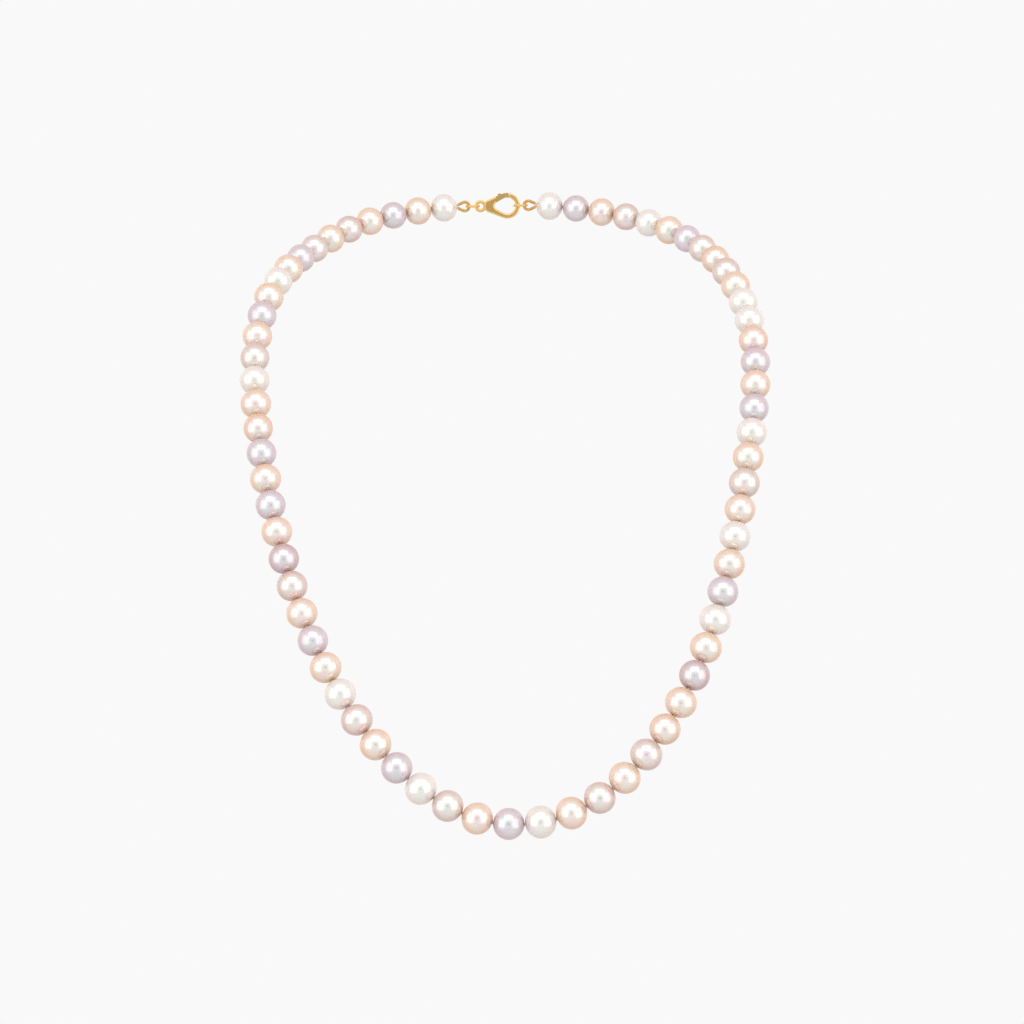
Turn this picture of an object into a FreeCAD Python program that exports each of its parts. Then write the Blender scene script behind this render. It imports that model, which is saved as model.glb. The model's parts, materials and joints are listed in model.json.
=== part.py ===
import FreeCAD, Part
import math
import os
import random

# A pearl necklace, about half a metre long, as it is worn: 68 near-round pearls knotted
# on silk, closed behind the neck by a small lobster clasp.
# Millimetres. +Z is up, +Y points to the back of the neck, -Y to the viewer.
# The origin is the middle of the neck, level with the clasp.

V = FreeCAD.Vector
ACROSS = V(0, 1, 0)       # the fastening's thin direction, away from the neck
UPRIGHT = V(0, 0, 1)

# --- the strand ---
PEARL_DIAMETER = 6.84
PEARL_SPREAD = 0.015      # how much a pearl's radius may differ from the nominal one
PITCH = 7.0               # from knot to knot
DRILL_DIAMETER = 0.9
SILK_DIAMETER = 0.5
KNOT_DIAMETER = 0.84      # a knot sits in the mouths of the two drill holes beside it
KNOT_TUCK = 0.15          # from a knot's centre to the ends of the silk inside it
SILK_END_GAP = 0.5        # from a flexing knot's centre to where the next link's silk begins
PEARLS_PER_LINK = 4
LINKS_PER_SIDE = 8
OPEN_BEND = 22            # degrees: past this two neighbouring pearls would touch

# The line on which the silk lies, chosen by hand. It runs from the front up the viewer's
# right side of the chest, round the back of the neck and down the viewer's left side.
ROUTE = [
    (4.0, -86.8, -135.1),
    (20.4, -85.6, -129.5),
    (34.7, -80.2, -115.3),
    (44.2, -71.6, -98.5),
    (50.0, -61.4, -81.2),
    (54.2, -50.0, -64.0),
    (57.5, -37.0, -47.7),
    (58.5, -22.5, -32.5),
    (55.5, -6.2, -20.1),
    (48.5, 11.8, -11.0),
    (37.0, 26.0, -5.0),
    (20.0, 35.0, -1.3),
    (0.0, 38.0, 0.0),
    (-20.0, 35.2, -1.3),
    (-37.0, 26.3, -5.0),
    (-48.2, 13.0, -11.3),
    (-55.8, -4.8, -19.1),
    (-59.4, -21.0, -31.8),
    (-58.4, -35.4, -47.2),
    (-55.1, -48.1, -63.5),
    (-50.1, -59.3, -80.5),
    (-43.0, -69.2, -97.5),
    (-32.8, -77.8, -113.8),
    (-18.5, -84.2, -127.9),
]

# --- the fastening, gold-plated brass ---
LOOP_RADIUS = 1.15        # French wire loop and the clasp's eye, to the wire's middle
LOOP_WIRE = 0.42          # its wire's radius
LOOP_BORE = 0.26          # the silk inside the French wire
LOOP_SETBACK = 1.75       # from the end knot to the loop's middle
RING_WIRE = 0.3           # radius of the wire of both rings
JUMP_RING_RADIUS = 1.65
END_RING_RADIUS = 1.7
RUNNING_GAP = 0.06        # between two linked wires

CLASP_THICKNESS = 1.4
CLASP_LENGTH = 9.3        # the claw without its eye
TAIL_RADIUS = 1.7
NOSE_RADIUS = 3.3
HOLE_TAIL_RADIUS = 1.0
HOLE_NOSE_RADIUS = 2.1
HOLE_LENGTH = 5.4
EDGE_ROUND = 0.4
EYE_OVERLAP = 0.25        # how far the eye is sunk into the tail
GATE_LIP = 0.4            # from the hole's tail end to where the gate's gap begins
GATE_FLOOR = 0.6          # the gap's lower side, above the clasp's middle

TRIGGER_THICKNESS = 0.6
TRIGGER_FLOOR = 0.75      # its underside, above the clasp's middle
TRIGGER_REACH = 4.85      # from the pivot to the gate's tip
TIP_GAP = 0.1
HEEL_RADIUS = 0.75
TAB_RADIUS = 0.5          # the thumb tab on the trigger's back
TAB_FROM_GATE = 1.0
TAB_HEIGHT = 2.7
PIVOT_FROM_TAIL = 1.9
PIVOT_HEIGHT = 1.1
PIN_RADIUS = 0.3
PIN_PRESS = 0.005         # how much slimmer the pin is drawn than its hole in the body
PIN_FIT = 0.02            # running clearance in the trigger
SLOT_WIDTH = 0.7          # the slot that the heel turns in
SLOT_BEHIND = 0.85        # how far it runs behind the pivot
SLOT_PAST_GATE = 0.1
SLOT_FLOOR = 0.2
SPRING_THICKNESS = 0.1
SPRING_WIDTH = 0.5
SPRING_BEHIND = 0.7       # how far the leaf reaches behind and ahead of the pivot
SPRING_AHEAD = 0.6
HAIRLINE = 0.01           # between pieces that touch

CUTTER = 4.0              # taller and wider than any part of the clasp


# --- the line of the strand ---
def strand_line():
    """The closed smooth line through the route's points."""
    curve = Part.BSplineCurve()
    curve.interpolate([V(*p) for p in ROUTE], PeriodicFlag=True)
    return curve


def at_distance(curve, distance):
    """The point on the line this far from its front, to the viewer's right if positive."""
    length = curve.length()
    return curve.value(curve.parameterAtDistance(distance % length, curve.FirstParameter))


def side_knots(curve, sign):
    """The knots from the front middle to one end of the strand."""
    count = PEARLS_PER_LINK // 2 + LINKS_PER_SIDE * PEARLS_PER_LINK
    return [at_distance(curve, sign * n * PITCH) for n in range(count + 1)]


# --- pearls and silk ---
def rod(start, end, radius):
    way = end - start
    return Part.makeCylinder(radius, way.Length, start, way)


def pearl(before, after, radius):
    """A pearl between two knots, drilled through along the silk."""
    middle = (before + after) * 0.5
    along = (after - before).normalize()
    ball = Part.makeSphere(radius, middle, along)
    drill = rod(middle - along * PEARL_DIAMETER, middle + along * PEARL_DIAMETER, DRILL_DIAMETER / 2)
    return ball.cut(drill)


def pearls(knots, sizes):
    return Part.makeCompound([pearl(a, b, next(sizes)) for a, b in zip(knots, knots[1:])])


def silk(knots, tied):
    """Silk from knot to knot, with a knot tied at each numbered place. It begins a little
    way from a knot that belongs to the link before."""
    pieces = []
    for n, (start, end) in enumerate(zip(knots, knots[1:])):
        along = (end - start).normalize()
        lead = KNOT_TUCK if n in tied else SILK_END_GAP
        pieces.append(rod(start + along * lead, end - along * KNOT_TUCK, SILK_DIAMETER / 2))
    for n in tied:
        through = knots[min(n + 1, len(knots) - 1)] - knots[max(n - 1, 0)]
        pieces.append(Part.makeSphere(KNOT_DIAMETER / 2, knots[n], through))
    return pieces[0].fuse(pieces[1:]).removeSplitter()


# --- where one link flexes against the next ---
def turned_square(direction, along):
    """The direction, turned the least way to stand square to another."""
    return (direction - along * direction.dot(along)).normalize()


def loop_normal(curve):
    """Square to the loop's mean plane, towards the viewer and up."""
    up_the_back = curve.value(curve.FirstParameter + 0.5 * (curve.LastParameter - curve.FirstParameter))
    chord = up_the_back - curve.value(curve.FirstParameter)
    return V(0, -chord.z, chord.y).normalize()


def flex(knots, number, normal, sign):
    """The knot where a link begins, its axis, and how far it opens from the worn shape."""
    before = (knots[number] - knots[number - 1]).normalize()
    after = (knots[number + 1] - knots[number]).normalize()
    axis = turned_square(normal, (before + after).normalize()) * sign
    worn_bend = math.degrees(math.asin(after.cross(before).dot(axis)))
    return knots[number], axis, math.floor(OPEN_BEND + worn_bend)


# --- the fastening, built along X with Y outwards and Z up, then laid between the end knots ---
def torus(radius, wire, x, axis):
    return Part.makeTorus(radius, wire, V(x, 0, 0), axis)


def hulled(x1, r1, x2, r2, thickness):
    """A plate around two circles on the X axis, and the tangents that join them."""
    lean = math.asin((r2 - r1) / (x2 - x1))
    s, c = math.sin(lean), math.cos(lean)
    top = [V(x1 - r1 * s, 0, r1 * c), V(x2 - r2 * s, 0, r2 * c)]
    low = [V(p.x, 0, -p.z) for p in top]
    edges = [
        Part.LineSegment(top[0], top[1]).toShape(),
        Part.Arc(top[1], V(x2 + r2, 0, 0), low[1]).toShape(),
        Part.LineSegment(low[1], low[0]).toShape(),
        Part.Arc(low[0], V(x1 - r1, 0, 0), top[0]).toShape(),
    ]
    plate = Part.Face(Part.Wire(edges)).extrude(ACROSS * thickness)
    plate.translate(ACROSS * (-thickness / 2))
    return plate


def block(x1, x2, z1, z2, width):
    return Part.makeBox(x2 - x1, width, z2 - z1, V(x1, -width / 2, z1))


def round_rims(plate, radius):
    """Rounds the two rims of a plate, outside and inside its hole."""
    half = plate.BoundBox.YMax
    rims = [e for e in plate.Edges if abs(abs(e.CenterOfMass.y) - half) < HAIRLINE]
    return plate.makeFillet(radius, rims)


class Clasp:
    """A small lobster clasp with its tail at x."""

    def __init__(self, x):
        self.tail = x + TAIL_RADIUS
        self.nose = x + CLASP_LENGTH - NOSE_RADIUS
        self.pivot = V(x + PIVOT_FROM_TAIL, 0, PIVOT_HEIGHT)
        self.hole_tail = self.nose + HOLE_NOSE_RADIUS - HOLE_LENGTH + HOLE_TAIL_RADIUS
        self.gate_start = self.hole_tail - HOLE_TAIL_RADIUS + GATE_LIP

    def claw(self, thickness):
        """The whole closed outline as a plate with its hole."""
        outside = hulled(self.tail, TAIL_RADIUS, self.nose, NOSE_RADIUS, thickness)
        hole = hulled(self.hole_tail, HOLE_TAIL_RADIUS, self.nose, HOLE_NOSE_RADIUS, CUTTER)
        return outside.cut(hole)

    def about_pivot(self, radius, width):
        """A disc on the pivot's axis."""
        return Part.makeCylinder(radius, width, self.pivot - ACROSS * (width / 2), ACROSS)

    def body(self, eye_x):
        plate = round_rims(self.claw(CLASP_THICKNESS), EDGE_ROUND)
        gate = block(self.gate_start, self.nose + NOSE_RADIUS, GATE_FLOOR, CUTTER, CUTTER)
        gate = gate.common(self.about_pivot(TRIGGER_REACH + TIP_GAP, CUTTER))
        slot_start = self.pivot.x - SLOT_BEHIND
        slot = block(slot_start, self.gate_start + SLOT_PAST_GATE, SLOT_FLOOR, CUTTER, SLOT_WIDTH)
        eye = torus(LOOP_RADIUS, LOOP_WIRE, eye_x, ACROSS)
        eye_hole_start = V(eye_x, -CUTTER / 2, 0)
        eye_hole = Part.makeCylinder(LOOP_RADIUS - LOOP_WIRE, CUTTER, eye_hole_start, ACROSS)
        pin_hole = self.about_pivot(PIN_RADIUS, CUTTER)
        return plate.cut([gate, slot, eye_hole]).fuse(eye).cut(pin_hole)

    def trigger(self):
        band = self.claw(TRIGGER_THICKNESS).common(self.about_pivot(TRIGGER_REACH, CUTTER))
        band = band.common(block(self.pivot.x, self.nose + NOSE_RADIUS, TRIGGER_FLOOR, CUTTER, CUTTER))
        heel = self.about_pivot(HEEL_RADIUS, TRIGGER_THICKNESS)
        tab_at = V(self.gate_start + TAB_FROM_GATE, -TRIGGER_THICKNESS / 2, TAB_HEIGHT)
        tab = Part.makeCylinder(TAB_RADIUS, TRIGGER_THICKNESS, tab_at, ACROSS)
        bore = self.about_pivot(PIN_RADIUS + PIN_FIT, CUTTER)
        return band.fuse([heel, tab]).cut(bore).removeSplitter()

    def pin(self):
        return self.about_pivot(PIN_RADIUS - PIN_PRESS, CLASP_THICKNESS)

    def spring(self):
        """The leaf under the trigger's heel."""
        low = SLOT_FLOOR + HAIRLINE
        start = self.pivot.x - SPRING_BEHIND
        end = self.pivot.x + SPRING_AHEAD
        return block(start, end, low, low + SPRING_THICKNESS, SPRING_WIDTH)


def french_wire(x):
    """A loop of fine tubular wire over the silk, with its silk inside."""
    tube = torus(LOOP_RADIUS, LOOP_WIRE, x, ACROSS)
    cover = tube.cut(torus(LOOP_RADIUS, LOOP_BORE, x, ACROSS))
    return cover, torus(LOOP_RADIUS, LOOP_BORE - HAIRLINE, x, ACROSS)


def fastening():
    """Each piece along X from the left end knot, the hinge places, and the whole span."""
    nested = LOOP_RADIUS - LOOP_WIRE - RING_WIRE - RUNNING_GAP
    left_loop = LOOP_SETBACK
    jump_ring = left_loop + nested + JUMP_RING_RADIUS
    eye = jump_ring + JUMP_RING_RADIUS + nested
    clasp = Clasp(eye + LOOP_RADIUS - EYE_OVERLAP)
    bow = clasp.nose + HOLE_NOSE_RADIUS
    end_ring = bow - RING_WIRE - RUNNING_GAP + END_RING_RADIUS
    right_loop = end_ring + END_RING_RADIUS + nested
    left_cover, left_core = french_wire(left_loop)
    right_cover, right_core = french_wire(right_loop)
    pieces = {
        "french_wire_left": left_cover,
        "french_wire_silk_left": left_core,
        "jump_ring": torus(JUMP_RING_RADIUS, RING_WIRE, jump_ring, UPRIGHT),
        "clasp_body": clasp.body(eye),
        "clasp_trigger": clasp.trigger(),
        "clasp_pin": clasp.pin(),
        "clasp_spring": clasp.spring(),
        "end_ring": torus(END_RING_RADIUS, RING_WIRE, end_ring, UPRIGHT),
        "french_wire_right": right_cover,
        "french_wire_silk_right": right_core,
    }
    hinges = {
        "clasp_swing": (V(left_loop + LOOP_RADIUS, 0, 0), UPRIGHT),
        "jump_ring_spin": (V(jump_ring, 0, 0), UPRIGHT),
        "trigger": (clasp.pivot, ACROSS),
        "end_ring_spin": (V(end_ring, 0, 0), UPRIGHT),
    }
    return pieces, hinges, right_loop + LOOP_SETBACK


def laid_between(start, end, span):
    """The placement that lays the fastening straight from one end knot to the other."""
    along = (end - start).normalize()
    up = turned_square(UPRIGHT, along)
    out = up.cross(along)
    turn = FreeCAD.Rotation(along, out, up, "XYZ")
    slack = ((end - start).Length - span) / 2
    print(f"slack at each end of the fastening: {slack:.3f} mm")
    return FreeCAD.Placement(start + along * slack, turn)


def report(name, place, axis, most):
    where = ", ".join(f"{c:.4f}" for c in place)
    way = ", ".join(f"{c:.6f}" for c in axis)
    print(f"hinge {name}: at ({where}) axis ({way}) opens {most}")


def save(name, shape):
    for solid in shape.Solids:
        if not solid.isValid() or solid.Volume <= 0:
            raise ValueError(f"{name} has a bad solid")
    shape.exportStep(f"parts/{name}.step")


def build():
    os.makedirs("parts", exist_ok=True)
    curve = strand_line()
    normal = loop_normal(curve)
    half = PEARLS_PER_LINK // 2
    chance = random.Random(11)

    def sizes():
        while True:
            yield PEARL_DIAMETER / 2 + chance.uniform(-1, 1) * PEARL_SPREAD

    size = sizes()
    left = side_knots(curve, -1)
    right = side_knots(curve, 1)
    front = left[half:0:-1] + right[: half + 1]
    save("pearls_front", pearls(front, size))
    save("silk_front", silk(front, list(range(len(front)))))
    for side, knots, sign in (("left", left, 1), ("right", right, -1)):
        for link in range(1, LINKS_PER_SIDE + 1):
            first = half + (link - 1) * PEARLS_PER_LINK
            own = knots[first : first + PEARLS_PER_LINK + 1]
            save(f"pearls_{side}_{link}", pearls(own, size))
            save(f"silk_{side}_{link}", silk(own, list(range(1, len(own)))))
            report(f"{side}_{link}", *flex(knots, first, normal, sign))

    pieces, hinges, span = fastening()
    lie = laid_between(left[-1], right[-1], span)
    for name, shape in pieces.items():
        shape.Placement = lie.multiply(shape.Placement)
        save(name, shape)
    for name, (place, axis) in hinges.items():
        report(name, lie.multVec(place), lie.Rotation.multVec(axis), "-")
    print(f"line {curve.length():.1f} mm round, fastening {span:.2f} mm")


build()
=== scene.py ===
# %% [markdown]
# # A strand of freshwater pearls
# The object is one strand of near-round pearls, knotted on silk and closed behind the neck
# with a small gold-plated clasp. This lesson starts from an engineering model that already
# has every pearl, knot and clasp part in its right place, and gives each of them the shape
# and the finish that the eye expects. Where a plain shape is already right it is kept and
# only gets a finish. Where it is a stand-in, such as a perfect ball for a grown pearl, a
# modelled piece takes its place and moves with the same body.

# %% Load the frame
import json
import math
import random

import bmesh
import bpy
from mathutils import Matrix, Vector


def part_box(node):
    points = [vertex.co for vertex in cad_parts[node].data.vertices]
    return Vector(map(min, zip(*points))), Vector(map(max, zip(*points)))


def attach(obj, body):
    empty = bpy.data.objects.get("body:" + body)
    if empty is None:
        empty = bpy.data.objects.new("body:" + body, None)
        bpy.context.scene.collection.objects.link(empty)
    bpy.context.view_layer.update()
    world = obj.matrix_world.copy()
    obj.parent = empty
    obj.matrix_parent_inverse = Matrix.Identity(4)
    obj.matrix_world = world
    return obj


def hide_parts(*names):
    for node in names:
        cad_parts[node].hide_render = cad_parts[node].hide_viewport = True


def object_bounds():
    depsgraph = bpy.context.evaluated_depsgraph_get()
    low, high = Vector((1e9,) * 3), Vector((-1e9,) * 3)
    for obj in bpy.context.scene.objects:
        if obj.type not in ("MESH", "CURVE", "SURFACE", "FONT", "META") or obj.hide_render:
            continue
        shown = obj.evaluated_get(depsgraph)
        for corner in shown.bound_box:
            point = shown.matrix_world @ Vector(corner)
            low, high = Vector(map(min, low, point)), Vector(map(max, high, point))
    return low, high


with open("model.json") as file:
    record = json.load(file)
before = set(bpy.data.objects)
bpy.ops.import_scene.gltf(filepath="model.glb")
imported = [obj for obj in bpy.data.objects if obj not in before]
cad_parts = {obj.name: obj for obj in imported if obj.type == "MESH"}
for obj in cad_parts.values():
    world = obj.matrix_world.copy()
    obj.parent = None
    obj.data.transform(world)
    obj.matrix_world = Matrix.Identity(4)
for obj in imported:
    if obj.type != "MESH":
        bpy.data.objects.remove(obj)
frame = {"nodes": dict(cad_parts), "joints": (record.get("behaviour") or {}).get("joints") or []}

MM = 0.001
packed_low, packed_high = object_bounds()
nodes = frame["nodes"]
joints = {joint["name"]: joint for joint in frame["joints"]}
scene = bpy.context.scene
print(f"{len(nodes)} nodes and {len(joints)} joints")


# %% [markdown]
# ## Small tools
# An operator works on everything that is selected, so each step first makes sure that just
# one object is. Colours are written as the hex values that a designer picks on a screen,
# and one function turns them into the linear light that the renderer adds up.

# %% Select one object
def only(obj):
    bpy.ops.object.select_all(action="DESELECT")
    obj.select_set(True)
    bpy.context.view_layer.objects.active = obj


def edit(obj, mode="VERT"):
    """Opens one object for editing, or keeps it open, with nothing in it selected."""
    if bpy.context.mode != "EDIT_MESH":
        only(obj)
        bpy.ops.object.mode_set(mode="EDIT")
    bpy.ops.mesh.select_mode(type=mode)
    bpy.ops.mesh.select_all(action="DESELECT")
    return bmesh.from_edit_mesh(obj.data)


def select_where(obj, parts, test):
    """Selects the vertices, edges or faces whose middle passes the test."""
    for part in parts:
        corners = getattr(part, "verts", [part])
        middle = sum((corner.co for corner in corners), Vector()) / len(corners)
        part.select_set(test(middle))
    bmesh.update_edit_mesh(obj.data)


def done_editing():
    bpy.ops.object.mode_set(mode="OBJECT")


# %% Colours and nodes
def linear(code):
    """An sRGB hex value as linear red, green and blue, with full alpha."""
    parts = [int(code[i : i + 2], 16) / 255 for i in (0, 2, 4)]
    light = [p / 12.92 if p <= 0.04045 else ((p + 0.055) / 1.055) ** 2.4 for p in parts]
    return light + [1.0]


def add_node(tree, kind, values=(), links=(), **settings):
    """Adds a node with its settings, its fixed values and what is plugged into it."""
    node = tree.nodes.new(kind)
    for name, value in settings.items():
        setattr(node, name, value)
    for socket, value in dict(values).items():
        node.inputs[socket].default_value = value
    for socket, source in dict(links).items():
        tree.links.new(source, node.inputs[socket])
    return node


def new_material(name):
    """A material that uses nodes, and its empty tree."""
    material = bpy.data.materials.new(name)
    material.use_nodes = True
    material.node_tree.nodes.clear()
    return material, material.node_tree


# %% [markdown]
# ## Where every pearl is
# The engineering model holds four pearls to a node, each a drilled ball. Each ball is an
# island of its own in the node's mesh, so its middle and its radius can be read from the
# island's lowest and highest corners. The order of the islands is then settled by how far
# each one is from the knot where its length of the strand begins.

# %% Find the drilled balls
def islands(node):
    """The separate shapes in a node's mesh, as lists of places."""
    copy = bmesh.new()
    copy.from_mesh(node.data)
    bmesh.ops.remove_doubles(copy, verts=copy.verts, dist=1e-7)
    unseen = set(copy.verts)
    found = []
    while unseen:
        island = []
        waiting = [unseen.pop()]
        while waiting:
            vertex = waiting.pop()
            island.append(vertex.co.copy())
            near = {edge.other_vert(vertex) for edge in vertex.link_edges} & unseen
            unseen -= near
            waiting.extend(near)
        found.append(island)
    copy.free()
    return found


def ball(island):
    """The middle and the radius of a ball, in metres."""
    low = Vector([min(p[i] for p in island) for i in range(3)])
    high = Vector([max(p[i] for p in island) for i in range(3)])
    return (low + high) / 2, (high - low).length / (2 * math.sqrt(3))


SIDES = ("left", "right")
LINKS_PER_SIDE = 8


def link_balls(link):
    """The pearls of one link, from the front outwards."""
    balls = [ball(island) for island in islands(nodes[f"pearls_{link}"])]
    if link == "front":
        return sorted(balls, key=lambda found: found[0].x)
    start = Vector(joints[f"{link}_flex"]["pos_m"])
    return sorted(balls, key=lambda found: (found[0] - start).length)


left_links = [f"left_{n}" for n in range(LINKS_PER_SIDE, 0, -1)]
right_links = [f"right_{n}" for n in range(1, LINKS_PER_SIDE + 1)]
strand = []
for link in left_links:
    strand += [(link, *found) for found in reversed(link_balls(link))]
for link in ["front"] + right_links:
    strand += [(link, *found) for found in link_balls(link)]
print(f"{len(strand)} pearls from the left end to the right end")


# %% [markdown]
# ## The drill line and the knots
# A pearl is drilled along the strand, so its drill line points from the pearl before it to
# the pearl after it. The two end pearls have one neighbour each, and there the bend of the
# pearl next to them is carried on. A knot lies half a pitch from each pearl's middle.

# %% Drill lines and knots
PITCH = 7.0 * MM
middles = [middle for _, middle, _ in strand]


def carried_on(step, next_line):
    """The drill line of an end pearl, as if the strand bent on evenly."""
    step = step.normalized()
    return 2 * next_line.dot(step) * step - next_line


lines = [(after - before).normalized() for before, after in zip(middles, middles[2:])]
first = carried_on(middles[1] - middles[0], lines[0])
last = carried_on(middles[-1] - middles[-2], lines[-1])
lines = [first] + lines + [last]

ends = [(m - a * PITCH / 2, m + a * PITCH / 2) for m, a in zip(middles, lines)]
knots = [ends[0][0]]
knots += [(before[1] + after[0]) / 2 for before, after in zip(ends, ends[1:])]
knots += [ends[-1][1]]
gaps = [(before[1] - after[0]).length / MM for before, after in zip(ends, ends[1:])]
print(f"the two guesses of a knot differ by at most {max(gaps):.3f} mm")


# %% [markdown]
# ## The camera
# A long lens from a little above keeps the loop's true proportions: the camera stands a
# little over four loop heights away and looks down by six degrees.

# %% Camera
CAMERA_PLACE = (1.23 * MM, -633.74 * MM, -9.53 * MM)
LOOKING_DOWN = 6            # degrees
FIELD_OF_VIEW = 22.5

camera_data = bpy.data.cameras.new("long_lens")
camera = bpy.data.objects.new("long_lens", camera_data)
scene.collection.objects.link(camera)
camera.location = CAMERA_PLACE
camera.rotation_euler = (math.radians(90 - LOOKING_DOWN), 0, 0)
camera_data.angle = math.radians(FIELD_OF_VIEW)
camera_data.clip_start = 10 * MM
scene.camera = camera


# %% [markdown]
# ## Nacre
# A freshwater pearl is nacre all through: thousands of clear aragonite plates, each thinner
# than a wavelength of light, laid down by the shell. Seen head on, the stack of plates sends
# back most of the light at once, as a broad and almost white reflection, the lustre. Seen
# aslant, light passes between the plates and comes back with the pearl's own body colour.
# One shader alone can't do both, so two are mixed by the angle of the surface: a soft
# pearly metal for the lustre, and a slightly translucent body under it. The lustre has
# faint pink, green and cream patches, and the body colour drifts over each pearl.

# %% Nacre finishes
ARAGONITE_IOR = 1.63
GROWTH_PATCH = 2.2 * MM     # width of a patch of colour in the lustre
TONE_DRIFT = 7.0 * MM       # how far the body colour takes to drift
TERRACE = 0.5 * MM          # real growth lines are a tenth of this, too fine to show
TERRACE_HEIGHT = 0.02 * MM
LUSTRE_HEAD_ON = 0.83       # share of the lustre where the surface faces the eye
LUSTRE_ASLANT = 0.06        # and where it leans away by 68 degrees or more
LUSTRE_FADED = 0.63         # where that is: one less the cosine of 68 degrees
LUSTRE_ROUGHNESS = 0.27     # the plates scatter the reflection into a soft glow
BODY_ROUGHNESS = 0.38
LIGHT_IN_NACRE = 0.6 * MM   # how far light travels under the surface
LUSTRE_STOPS = (0.36, 0.47, 0.58, 0.70)     # where the four tints of the lustre are centred
WARM_LUSTRE = ("FBEDF2", "FFFAF4", "F1FAF5", "FCF1E4")
COOL_LUSTRE = ("EFE4EE", "F0EFF4", "E5EFEE", "EFE7E4")
CREAM_LUSTRE = ("FBF2F0", "FFFDF7", "F4FBF5", "FBF6E9")


def noise(tree, place, width, **values):
    """A noise whose lumps are this wide, read at a place."""
    settings = {"Scale": 1 / width, "Detail": 2.0, "Roughness": 0.5, **values}
    return add_node(tree, "ShaderNodeTexNoise", settings, {"Vector": place}).outputs["Fac"]


def nacre(name, body, deep, lustre_tints=WARM_LUSTRE):
    """Grown nacre, polished by tumbling. It gives a bright soft middle and a deeper rim."""
    material, tree = new_material(name)
    place = add_node(tree, "ShaderNodeTexCoord").outputs["Object"]
    body_tone = add_node(
        tree,
        "ShaderNodeMix",
        {"A": linear(body), "B": linear(deep)},
        {"Factor": noise(tree, place, TONE_DRIFT, Detail=1.0)},
        data_type="RGBA",
    )
    tints = add_node(
        tree,
        "ShaderNodeValToRGB",
        links={"Fac": noise(tree, place, GROWTH_PATCH, Distortion=0.5)},
    )
    ramp = tints.color_ramp.elements
    ramp[0].position, ramp[1].position = LUSTRE_STOPS[0], LUSTRE_STOPS[-1]
    for position in LUSTRE_STOPS[1:-1]:
        ramp.new(position)
    for stop, code in zip(ramp, lustre_tints):
        stop.color = linear(code)
    waves = add_node(
        tree,
        "ShaderNodeBump",
        {"Strength": 0.10, "Distance": TERRACE_HEIGHT},
        {"Height": noise(tree, place, TERRACE, Distortion=1.2)},
    )
    under = add_node(
        tree,
        "ShaderNodeBsdfPrincipled",
        {
            "Roughness": BODY_ROUGHNESS,
            "IOR": ARAGONITE_IOR,
            "Subsurface Weight": 0.3,
            "Subsurface Radius": (1.0, 0.6, 0.4),
            "Subsurface Scale": LIGHT_IN_NACRE,
            "Coat Weight": 0.3,
            "Coat Roughness": 0.12,
        },
        {"Base Color": body_tone.outputs["Result"], "Normal": waves.outputs["Normal"]},
    )
    lustre = add_node(
        tree,
        "ShaderNodeBsdfPrincipled",
        {"Metallic": 1.0, "Roughness": LUSTRE_ROUGHNESS},
        {"Base Color": tints.outputs["Color"], "Normal": waves.outputs["Normal"]},
    )
    facing = add_node(tree, "ShaderNodeLayerWeight", {"Blend": 0.5})
    share = add_node(
        tree,
        "ShaderNodeMapRange",
        {"From Max": LUSTRE_FADED, "To Min": LUSTRE_HEAD_ON, "To Max": LUSTRE_ASLANT},
        {"Value": facing.outputs["Facing"]},
        interpolation_type="SMOOTHSTEP",
    )
    both = add_node(tree, "ShaderNodeMixShader")
    tree.links.new(share.outputs["Result"], both.inputs[0])
    tree.links.new(under.outputs["BSDF"], both.inputs[1])
    tree.links.new(lustre.outputs["BSDF"], both.inputs[2])
    add_node(tree, "ShaderNodeOutputMaterial", links={"Surface": both.outputs["Shader"]})
    return material


FINISHES = {
    "peach": nacre("nacre_peach", "E4BEA2", "DFB290"),
    "apricot": nacre("nacre_apricot", "E2B69A", "D9A785"),
    "blush": nacre("nacre_blush", "D4B8AE", "CBA89B"),
    "champagne": nacre("nacre_champagne", "D5B3AA", "CAA498"),
    "lavender": nacre("nacre_lavender", "D1B8BC", "C4A8AD", COOL_LUSTRE),
    "mauve": nacre("nacre_mauve", "C7A1A0", "BA8F8D", COOL_LUSTRE),
    "white": nacre("nacre_white", "E5D8D3", "DECDC1", CREAM_LUSTRE),
}


# %% [markdown]
# ## The order of the colours
# A strand in natural colours is laid out by eye: no two neighbours match, white and mauve
# pearls break up the peach ones, and the same colours return every few pearls. The list
# runs from the left end behind the neck, over the front, to the right end.

# %% The order of the colours
ORDER = """
    white peach lavender peach champagne peach
    blush lavender peach white peach lavender peach blush white peach
    apricot lavender peach lavender peach mauve champagne peach lavender peach
    white champagne peach lavender white blush peach
    lavender white
    peach champagne peach blush apricot peach mauve peach white lavender
    peach white peach blush peach white lavender peach lavender apricot
    white white peach champagne apricot blush
    lavender peach white champagne peach lavender white
""".split()
print(f"{len(ORDER)} colours for {len(strand)} pearls")


# %% [markdown]
# ## One pearl
# A pearl of this grade looks round, but is up to four percent wider across the drill line
# than along it, and its surface wanders by a few hundredths of a millimetre. A ball is cut
# open at both ends of the drill line, the two openings are bridged to make the drilled hole,
# and the rims are bevelled where the drill broke through. One flank is then pulled out or
# pushed in a little. Five shapes are made, and every pearl of the strand is a copy of one of
# them, turned its own way about the drill line. The white and peach pearls of this strand
# are its fullest, and the mauve ones its roundest.

# %% Pearl shapes
PEARL_RADIUS = 3.42         # millimetres, and each shape below is modelled in millimetres
DRILL_RADIUS = 0.45
RIM_BEVEL = 0.07
FLANK_FROM = 2.2            # the flank that is pulled is past this, along X
FLANK_HEIGHT = 2.0          # and within this of the middle, along Z
FLANK_REACH = 3.5           # how far the pull fades out over the shape round it
LUMP_WIDTH = 3.2
SAME_HEIGHT = 1e-4          # corners this close in height count as one ring


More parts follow.
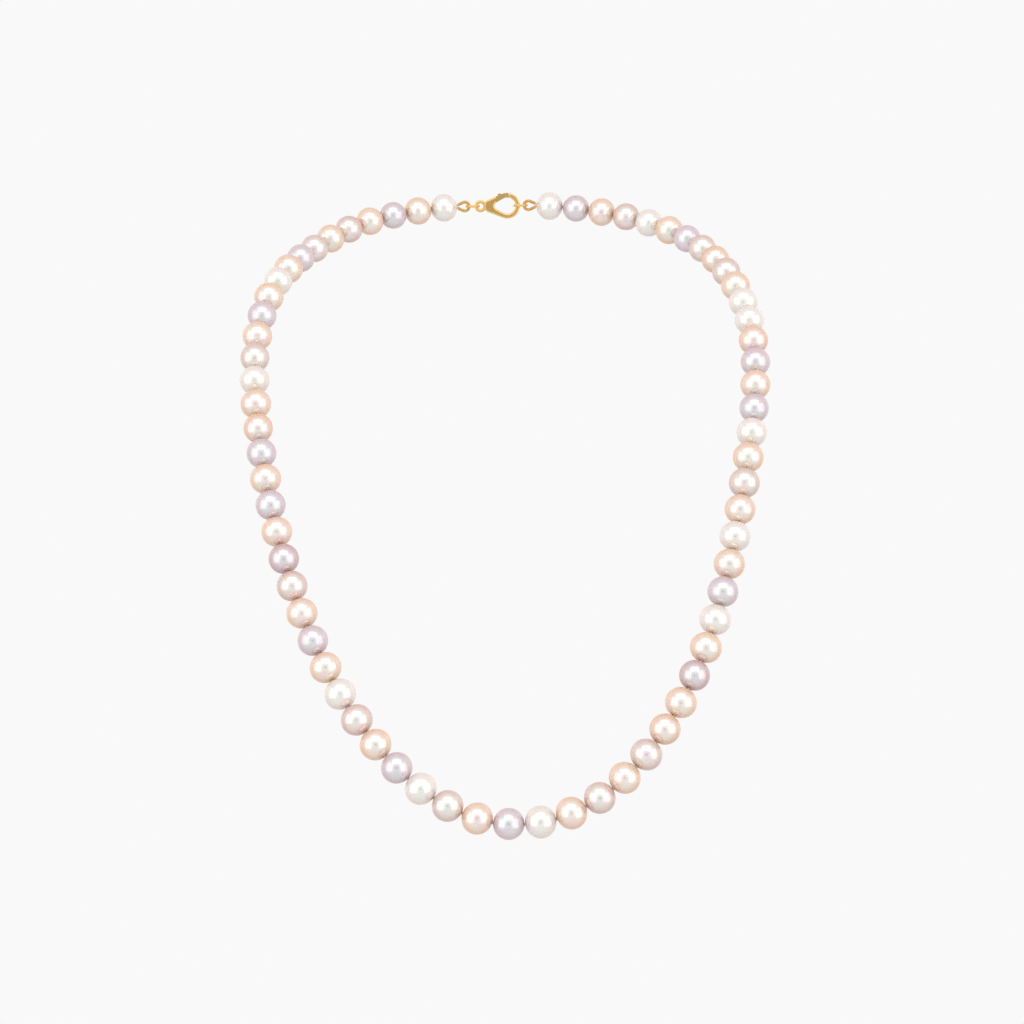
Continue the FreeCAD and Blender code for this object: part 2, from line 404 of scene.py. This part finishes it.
def pearl_shape(name, across, along, bulge, lumps):
    """A drilled pearl round the Z axis."""
    bpy.ops.object.select_all(action="DESELECT")
    bpy.ops.mesh.primitive_uv_sphere_add(segments=56, ring_count=36, radius=PEARL_RADIUS)
    pearl = bpy.context.object
    pearl.name = name
    mouth = math.sqrt(PEARL_RADIUS**2 - DRILL_RADIUS**2)
    edit(pearl)
    for way in (1, -1):
        bpy.ops.mesh.select_all(action="SELECT")
        bpy.ops.mesh.bisect(plane_co=(0, 0, way * mouth), plane_no=(0, 0, way), clear_outer=True)
    bpy.ops.mesh.select_all(action="DESELECT")
    bpy.ops.mesh.select_non_manifold()
    bpy.ops.mesh.bridge_edge_loops()
    shape = edit(pearl, "EDGE")
    select_where(pearl, shape.edges, lambda p: abs(abs(p.z) - mouth) < SAME_HEIGHT)
    bpy.ops.mesh.bevel(offset=RIM_BEVEL, segments=2, affect="EDGES")
    bpy.ops.mesh.select_all(action="SELECT")
    bpy.ops.transform.resize(value=(across, across, along))
    shape = edit(pearl)
    select_where(pearl, shape.verts, lambda p: p.x > FLANK_FROM and abs(p.z) < FLANK_HEIGHT)
    bpy.ops.transform.translate(
        value=(bulge, 0, 0),
        use_proportional_edit=True,
        proportional_edit_falloff="SMOOTH",
        proportional_size=FLANK_REACH,
    )
    bpy.ops.mesh.select_all(action="SELECT")
    bpy.ops.mesh.normals_make_consistent(inside=False)
    done_editing()
    growth = bpy.data.textures.new(f"{name}_growth", "CLOUDS")
    growth.noise_scale = LUMP_WIDTH
    waver = pearl.modifiers.new("growth", "DISPLACE")
    waver.texture = growth
    waver.strength = lumps
    bpy.ops.object.modifier_apply(modifier=waver.name)
    bpy.ops.object.shade_smooth_by_angle(angle=math.radians(50))
    print(f"{name}: {len(pearl.data.polygons)} faces, {pearl.dimensions.x:.2f} mm across")
    return pearl


ROUND = [
    pearl_shape("round", across=1.000, along=0.998, bulge=0.0, lumps=0.05),
    pearl_shape("near_round", across=1.012, along=0.998, bulge=0.02, lumps=0.06),
]
FULL = [
    pearl_shape("full_sided", across=1.028, along=0.998, bulge=0.05, lumps=0.06),
    pearl_shape("off_round", across=1.034, along=0.998, bulge=-0.06, lumps=0.08),
    pearl_shape("button", across=1.044, along=0.996, bulge=0.02, lumps=0.06),
]
SHAPES_BY_COLOUR = {
    "white": FULL,
    "peach": FULL,
    "blush": ROUND + FULL[:1],
    "champagne": ROUND + FULL[:1],
    "apricot": ROUND,
    "lavender": ROUND,
    "mauve": ROUND[:1],
}


# %% [markdown]
# ## Stringing the pearls
# Each pearl is laid on its drill line, scaled by the little that its ball differs from the
# nominal one, and rolled by chance about the line. The chance is seeded, so the strand
# comes out the same every time.

# %% String the pearls
chance = random.Random(7)


def along_line(line, roll):
    """The turn that lays the Z axis on a line, after a roll about it."""
    return line.to_track_quat("Z", "Y").to_matrix().to_4x4() @ Matrix.Rotation(roll, 4, "Z")


def copy_of(shape, name, placement):
    """A copy with a mesh of its own, its place in the mesh."""
    mesh = shape.data.copy()
    mesh.name = name
    mesh.transform(placement)
    piece = bpy.data.objects.new(name, mesh)
    scene.collection.objects.link(piece)
    return piece


for number, ((link, middle, radius), line) in enumerate(zip(strand, lines), start=1):
    size = radius / (PEARL_RADIUS * MM)
    roll = chance.uniform(0, 2 * math.pi)
    turn = along_line(line, roll)
    placement = Matrix.Translation(middle) @ turn @ Matrix.Scale(size * MM, 4)
    colour = ORDER[number - 1]
    shape = chance.choice(SHAPES_BY_COLOUR[colour])
    pearl = copy_of(shape, f"pearl_{number:02d}", placement)
    pearl.data.materials.append(FINISHES[colour])
    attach(pearl, link)
    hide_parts(f"pearls_{link}")
for shape in ROUND + FULL:
    bpy.data.objects.remove(shape)
print(f"{number} pearls strung")


# %% [markdown]
# ## Silk
# The thread is filament silk of three plies twisted together, and there is an overhand knot
# between every two pearls, which keeps them from rubbing and from scattering if the thread
# breaks. The plies are curves that wind round the drill line, the knots are small trefoils
# seated in the drill's mouths, and the whole of a link is turned into one mesh.

# %% Silk finish
FIBRE = 0.08 * MM           # a bundle of filaments, since one alone is too fine to show


def twisted_silk():
    """Filament silk, reeled and twisted. It is soft and has a faint sheen along the fibre."""
    material, tree = new_material("twisted_filament_silk")
    place = add_node(tree, "ShaderNodeTexCoord").outputs["Object"]
    fibres = noise(tree, place, FIBRE, Detail=3.0, Roughness=0.6)
    tone = add_node(
        tree,
        "ShaderNodeMix",
        {"A": linear("F6ECE1"), "B": linear("E9D9C8")},
        {"Factor": fibres},
        data_type="RGBA",
    )
    fluff = add_node(
        tree,
        "ShaderNodeBump",
        {"Strength": 0.4, "Distance": 0.02 * MM},
        {"Height": fibres},
    )
    shader = add_node(
        tree,
        "ShaderNodeBsdfPrincipled",
        {"Roughness": 0.55, "IOR": 1.54, "Sheen Weight": 0.35, "Sheen Roughness": 0.4},
        {"Base Color": tone.outputs["Result"], "Normal": fluff.outputs["Normal"]},
    )
    add_node(tree, "ShaderNodeOutputMaterial", links={"Surface": shader.outputs["BSDF"]})
    return material


silk_finish = twisted_silk()

# %% Silk plies and knots
PLIES = 3
PLY_RADIUS = 0.12 * MM
PLY_OFFSET = 0.13 * MM      # from the thread's middle to a ply's
TWIST_PITCH = 1.1 * MM
STEPS_PER_TURN = 8
KNOT_RADIUS = 0.42 * MM     # the knot just fits the drill's mouth
KNOT_STRAND = 0.12 * MM
KNOT_DEPTH = 2.2            # how far the knot's loops pass over each other, for its size
KNOT_STEPS = 30
SILK_END_GAP = 0.5 * MM     # from a flexing knot to where the next link's thread begins


def square_to(line):
    """Two directions square to a line and to each other."""
    side = Vector((0.3, 0.9, 0.2)).cross(line).normalized()
    return side, line.cross(side)


def add_spline(curve, points, closed=False):
    spline = curve.splines.new("POLY")
    spline.points.add(len(points) - 1)
    for slot, place in zip(spline.points, points):
        slot.co = (*place, 1)
    spline.use_cyclic_u = closed
    return spline


def ply(points, phase):
    """One ply that winds round the line through the points."""
    wound = []
    turned = phase
    for start, end in zip(points, points[1:]):
        line = (end - start).normalized()
        side, up = square_to(line)
        steps = max(2, round((end - start).length / TWIST_PITCH * STEPS_PER_TURN))
        for step in range(steps):
            place = start.lerp(end, step / steps)
            wound.append(place + PLY_OFFSET * (math.cos(turned) * side + math.sin(turned) * up))
            turned += 2 * math.pi * (end - start).length / TWIST_PITCH / steps
    return wound


def overhand_knot(place, line):
    """A pulled-tight overhand knot, as a small trefoil round the thread."""
    side, up = square_to(line)
    scale = (KNOT_RADIUS - KNOT_STRAND) / 3
    loops = []
    for step in range(KNOT_STEPS):
        t = 2 * math.pi * step / KNOT_STEPS
        a = math.sin(t) + 2 * math.sin(2 * t)
        b = math.cos(t) - 2 * math.cos(2 * t)
        c = -KNOT_DEPTH * math.sin(3 * t)
        loops.append(place + scale * (a * side + b * up + c * line))
    return loops


def tube_mesh(name, curve, radius, sides=1):
    """Gives a curve its thickness and turns it into a mesh."""
    curve.dimensions = "3D"
    curve.bevel_depth = radius
    curve.bevel_resolution = sides
    curve.use_fill_caps = True
    piece = bpy.data.objects.new(name, curve)
    scene.collection.objects.link(piece)
    only(piece)
    bpy.ops.object.convert(target="MESH")
    return bpy.context.object


# %% Silk for every link
def link_silk(name, points, tied):
    """The thread of one link with its knots."""
    curve = bpy.data.curves.new(name, "CURVE")
    for number in range(PLIES):
        add_spline(curve, ply(points, 2 * math.pi * number / PLIES))
    for place, line in tied:
        add_spline(curve, overhand_knot(place, line), closed=True)
    silk = tube_mesh(name, curve, PLY_RADIUS)
    bpy.ops.object.shade_smooth_by_angle(angle=math.radians(60))
    silk.data.materials.append(silk_finish)
    return silk


def knot_line(number):
    """The direction of the strand at a knot."""
    return (knots[min(number + 1, len(knots) - 1)] - knots[max(number - 1, 0)]).normalized()


for link in left_links + ["front"] + right_links:
    own = [number for number, (owner, _, _) in enumerate(strand) if owner == link]
    numbers = list(range(own[0], own[-1] + 2))
    run = [knots[number] for number in numbers]
    if link != "front":
        # The knot where a link flexes is tied in the link before it, nearer the front.
        flexing, next_knot = (-1, -2) if link.startswith("left") else (0, 1)
        step = (run[next_knot] - run[flexing]).normalized()
        run[flexing] = run[flexing] + step * SILK_END_GAP
        numbers.pop(flexing)
    tied = [(knots[number], knot_line(number)) for number in numbers]
    silk = link_silk(f"knotted_silk_{link}", run, tied)
    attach(silk, link)
    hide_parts(f"silk_{link}")
print(f"{len(knots)} knots tied")


# %% [markdown]
# ## Gold plate
# The fastening is cast and drawn brass under a few micrometres of gold, tumbled to a
# polish. A plated surface this small is never a perfect mirror: handling leaves hairline
# scuffs that only change the gloss, so the roughness wanders and the colour hardly does.

# %% Gold finish
SCUFF = 0.9 * MM            # width of a patch of scuffs
GLOSSIEST = 0.14            # roughness where it is least worn
DULLEST = 0.3


def polished_gold_plate():
    """Gold plate over brass, tumble polished. It mirrors softly, warm in the shadows."""
    material, tree = new_material("gold_plated_brass_polished")
    place = add_node(tree, "ShaderNodeTexCoord").outputs["Object"]
    wear = noise(tree, place, SCUFF, Detail=4.0, Roughness=0.6)
    gloss = add_node(
        tree,
        "ShaderNodeMapRange",
        {"To Min": GLOSSIEST, "To Max": DULLEST},
        {"Value": wear},
    )
    tone = add_node(
        tree,
        "ShaderNodeMix",
        {"A": linear("F6D08A"), "B": linear("E9BB6B")},
        {"Factor": wear},
        data_type="RGBA",
    )
    polish = add_node(
        tree,
        "ShaderNodeBump",
        {"Strength": 0.08, "Distance": 0.02 * MM},
        {"Height": wear},
    )
    shader = add_node(
        tree,
        "ShaderNodeBsdfPrincipled",
        {"Metallic": 1.0},
        {
            "Base Color": tone.outputs["Result"],
            "Roughness": gloss.outputs["Result"],
            "Normal": polish.outputs["Normal"],
        },
    )
    add_node(tree, "ShaderNodeOutputMaterial", links={"Surface": shader.outputs["BSDF"]})
    return material


gold = polished_gold_plate()
GOLD_NODES = [
    "jump_ring",
    "end_ring",
    "clasp_body",
    "clasp_trigger",
    "clasp_pin",
    "clasp_spring",
]
for name in GOLD_NODES:
    nodes[name].data.materials.clear()
    nodes[name].data.materials.append(gold)


# %% [markdown]
# ## French wire
# Where the silk goes through a ring it would soon be worn through, so a jeweller threads it
# into French wire: a very fine gold-plated wire, wound into a soft tube, which bends with
# the silk into a small teardrop loop. The frame has a plain ring there. A tube with a ribbed
# surface would look moulded, so the wire is really wound: one thin curve that circles the
# teardrop some fifty times, with the twisted silk inside it.

# %% The teardrop line
LOOP_RADIUS = 1.15 * MM
LEG_ANGLE = math.radians(115)   # where the round part of the loop ends and a leg begins
LEG_START = 0.25 * MM           # from the end knot to the first turn of the wire
ARC_STEPS = 40
LEG_STEPS = 12

end_ring_place = Vector(joints["end_ring_spin"]["pos_m"])
jump_ring_place = Vector(joints["jump_ring_spin"]["pos_m"])
fastening_along = (end_ring_place - jump_ring_place).normalized()
across = Vector(joints["trigger"]["axis"]).normalized()
upright = fastening_along.cross(across)


def teardrop(side):
    """The loop's line, from just past the end knot, round the ring and back."""
    low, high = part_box(f"french_wire_{side}")
    centre = (Vector(low) + Vector(high)) / 2
    knot = knots[0] if side == "left" else knots[-1]
    outward = fastening_along if side == "left" else -fastening_along
    setback = (centre - knot).dot(outward)
    leg = (setback + LOOP_RADIUS * math.cos(LEG_ANGLE) - LEG_START) / math.sin(LEG_ANGLE)
    path = []
    for step in range(LEG_STEPS):
        left_over = leg * (1 - step / LEG_STEPS)
        u = LOOP_RADIUS * math.cos(LEG_ANGLE) - left_over * math.sin(LEG_ANGLE)
        w = LOOP_RADIUS * math.sin(LEG_ANGLE) + left_over * math.cos(LEG_ANGLE)
        path.append(centre + u * outward + w * upright)
    for step in range(ARC_STEPS + 1):
        angle = LEG_ANGLE * (1 - 2 * step / ARC_STEPS)
        round_it = math.cos(angle) * outward + math.sin(angle) * upright
        path.append(centre + LOOP_RADIUS * round_it)
    back = [point - 2 * (point - centre).dot(upright) * upright for point in path[:LEG_STEPS]]
    return path + back[::-1], knot


# %% Wind the wire and lay the silk in it
TUBE_RADIUS = 0.36 * MM         # of the wound wire's middle
FRENCH_WIRE = 0.06 * MM         # the wire's own radius, drawn a little thicker than the real
WINDING = 0.13 * MM             # from one turn to the next
WINDING_STEPS = 12


def evenly(path, step):
    """Points this far apart along a line, each with the direction there."""
    found = []
    ahead = 0.0
    for start, end in zip(path, path[1:]):
        length = (end - start).length
        while ahead < length:
            found.append((start.lerp(end, ahead / length), (end - start).normalized()))
            ahead += step
        ahead -= length
    return found


def wound_wire(path):
    """A helix of fine wire round a flat line."""
    turns = []
    for step, (place, line) in enumerate(evenly(path, WINDING / WINDING_STEPS)):
        angle = 2 * math.pi * step / WINDING_STEPS
        side = across.cross(line)
        turns.append(place + TUBE_RADIUS * (math.cos(angle) * side + math.sin(angle) * across))
    return turns


for side in SIDES:
    path, knot = teardrop(side)
    body = f"{side}_{LINKS_PER_SIDE}"
    curve = bpy.data.curves.new(f"wound_french_wire_{side}", "CURVE")
    turns = wound_wire(path)
    add_spline(curve, turns)
    wire = tube_mesh(f"wound_french_wire_{side}", curve, FRENCH_WIRE)
    bpy.ops.object.shade_smooth()
    wire.data.materials.append(gold)
    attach(wire, body)
    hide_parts(f"french_wire_{side}")
    core = link_silk(f"silk_in_french_wire_{side}", [knot] + path[::4] + [path[-1], knot], [])
    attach(core, body)
    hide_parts(f"french_wire_silk_{side}")
    print(f"{side} French wire: {len(turns) // WINDING_STEPS} turns")


# %% [markdown]
# ## The white tent
# Pearls are lit in a tent of white cloth with two large softboxes in front, two weaker ones
# behind and one overhead. The lens looks in between the front two, and its dark front is the
# small grey spot in the middle of every pearl, with the softboxes as the bright lobes round
# it. The sweep under and round the strand is only what the eye sees behind it, so it lights
# nothing itself.

# %% Floor and backdrop
FLOOR_BELOW = 180 * MM
SWEEP_RADIUS = 2.4
SWEEP_HEIGHT = 2.2
SWEEP_BEND = 1.2            # radius of the bend from the floor into the backdrop
PAPER = "F9F9F9"

bpy.ops.object.select_all(action="DESELECT")
floor_height = packed_low[2] - FLOOR_BELOW
bpy.ops.mesh.primitive_circle_add(
    vertices=96,
    radius=SWEEP_RADIUS,
    fill_type="NGON",
    location=(0, 0, floor_height),
)
sweep = bpy.context.object
sweep.name = "paper_sweep"
edit(sweep, "EDGE")
bpy.ops.mesh.select_non_manifold()
bpy.ops.mesh.extrude_region_move(TRANSFORM_OT_translate={"value": (0, 0, SWEEP_HEIGHT)})
shape = edit(sweep, "EDGE")
near_rim = 0.9 * SWEEP_RADIUS
select_where(sweep, shape.edges, lambda p: abs(p.z) < 0.1 * MM and p.length > near_rim)
bpy.ops.mesh.bevel(offset=SWEEP_BEND, segments=24, affect="EDGES")
done_editing()
bpy.ops.object.shade_smooth()
for ray in ("visible_diffuse", "visible_glossy", "visible_transmission", "visible_shadow"):
    setattr(sweep, ray, False)
paper, paper_tree = new_material("white_paper")
paper_shader = add_node(paper_tree, "ShaderNodeEmission", {"Color": linear(PAPER)})
add_node(
    paper_tree,
    "ShaderNodeOutputMaterial",
    links={"Surface": paper_shader.outputs["Emission"]},
)
sweep.data.materials.append(paper)

# %% Tent and softboxes
scene.view_settings.view_transform = "Standard"
TENT_BELOW = 0.84           # brightness of the cloth low down
TENT_ABOVE = 0.92           # and overhead
TENT_BLEND = 0.7            # how far from level the blend between them reaches
tent = bpy.data.worlds.new("white_tent")
tent.use_nodes = True
tent.node_tree.nodes.clear()
way = add_node(tent.node_tree, "ShaderNodeTexCoord").outputs["Generated"]
split = add_node(tent.node_tree, "ShaderNodeSeparateXYZ", links={"Vector": way})
floor_to_top = add_node(
    tent.node_tree,
    "ShaderNodeMapRange",
    {
        "From Min": -TENT_BLEND,
        "From Max": TENT_BLEND,
        "To Min": TENT_BELOW,
        "To Max": TENT_ABOVE,
    },
    {"Value": split.outputs["Z"]},
)
cloth = add_node(
    tent.node_tree,
    "ShaderNodeBackground",
    {"Color": linear("FFFFFF")},
    {"Strength": floor_to_top.outputs["Result"]},
)
add_node(tent.node_tree, "ShaderNodeOutputWorld", links={"Surface": cloth.outputs["Background"]})
scene.world = tent

AIM = Vector((0, -40 * MM, -75 * MM))       # the middle of the loop


def softbox(name, away, width, height, brightness):
    """A rectangular softbox at a place, facing the strand. Its power follows its area."""
    data = bpy.data.lights.new(name, "AREA")
    data.shape = "RECTANGLE"
    data.size = width
    data.size_y = height
    data.energy = brightness * math.pi * width * height
    light = bpy.data.objects.new(name, data)
    light.location = AIM + Vector(away)
    light.rotation_euler = Vector(away).to_track_quat("Z", "Y").to_euler()
    scene.collection.objects.link(light)


FRONT_BOX = {"width": 1.0, "height": 1.0, "brightness": 0.48}
BACK_BOX = {"width": 0.8, "height": 1.0, "brightness": 0.35}
softbox("softbox_left", (-0.76, -0.52, 0.12), **FRONT_BOX)
softbox("softbox_right", (0.76, -0.52, 0.12), **FRONT_BOX)
softbox("softbox_back_left", (-0.68, 0.62, 0.10), **BACK_BOX)
softbox("softbox_back_right", (0.68, 0.62, 0.10), **BACK_BOX)
softbox("softbox_above", (0, -0.5, 0.75), width=1.0, height=0.6, brightness=0.8)

# %% The front of the lens
LENS_FRONT = 62 * MM        # radius of the lens with its hood
BEHIND_THE_VIEW = 20 * MM   # so that the disc is behind the point that the camera sees from

bpy.ops.object.select_all(action="DESELECT")
bpy.ops.mesh.primitive_circle_add(vertices=48, radius=LENS_FRONT, fill_type="NGON")
lens_front = bpy.context.object
lens_front.name = "lens_front"
lens_front.matrix_world = camera.matrix_basis @ Matrix.Translation((0, 0, BEHIND_THE_VIEW))
lens_front.visible_camera = False
lens_front.visible_shadow = False
black, black_tree = new_material("black_anodised_lens_rim")
rim = add_node(
    black_tree,
    "ShaderNodeBsdfPrincipled",
    {"Base Color": linear("101010"), "Roughness": 0.7},
)
add_node(black_tree, "ShaderNodeOutputMaterial", links={"Surface": rim.outputs["BSDF"]})
lens_front.data.materials.append(black)
